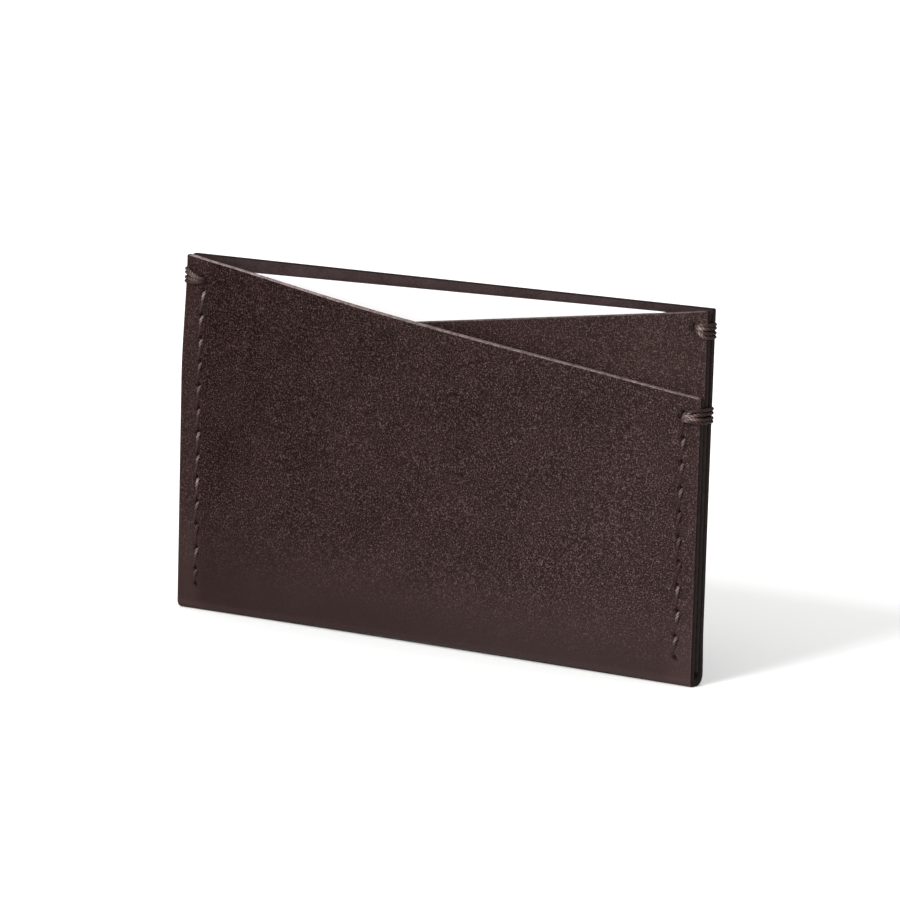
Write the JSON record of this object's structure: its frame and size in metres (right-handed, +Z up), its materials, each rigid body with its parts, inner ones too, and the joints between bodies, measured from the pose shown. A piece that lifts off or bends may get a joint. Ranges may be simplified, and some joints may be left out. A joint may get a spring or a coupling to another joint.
{
  "type": "card wallet",
  "caption": "Slim leather card wallet: a folded outer shell and a divider with crossing diagonal top edges, stitched at both sides, holding a blank card.",
  "frame": {"origin": "centre of the overall box's base, on the surface that the folded bottom edge stands on", "axes": "+X along the wallet's width, to the right seen from the front; +Y from the front panel to the back; +Z up"},
  "size_m": [0.0978, 0.0057, 0.058],
  "materials": {
    "leather": "fine grain, satin",
    "thread": "waxed",
    "card": "smooth"
  },
  "bodies": {
    "wallet": {"outer_shell": "leather", "divider_panel": "leather", "left_seam_front_thread": "thread", "left_seam_back_thread": "thread", "right_seam_front_thread": "thread", "right_seam_back_thread": "thread", "left_edge_tack": "thread", "right_front_edge_tack": "thread", "right_divider_edge_tack": "thread"},
    "card": {"blank_card": "card"}
  },
  "joints": [
    {"name": "card_slide", "type": "slide", "parent": "wallet", "child": "card", "axis": [0, 0, 1], "range_m": [0, 0.06]}
  ]
}
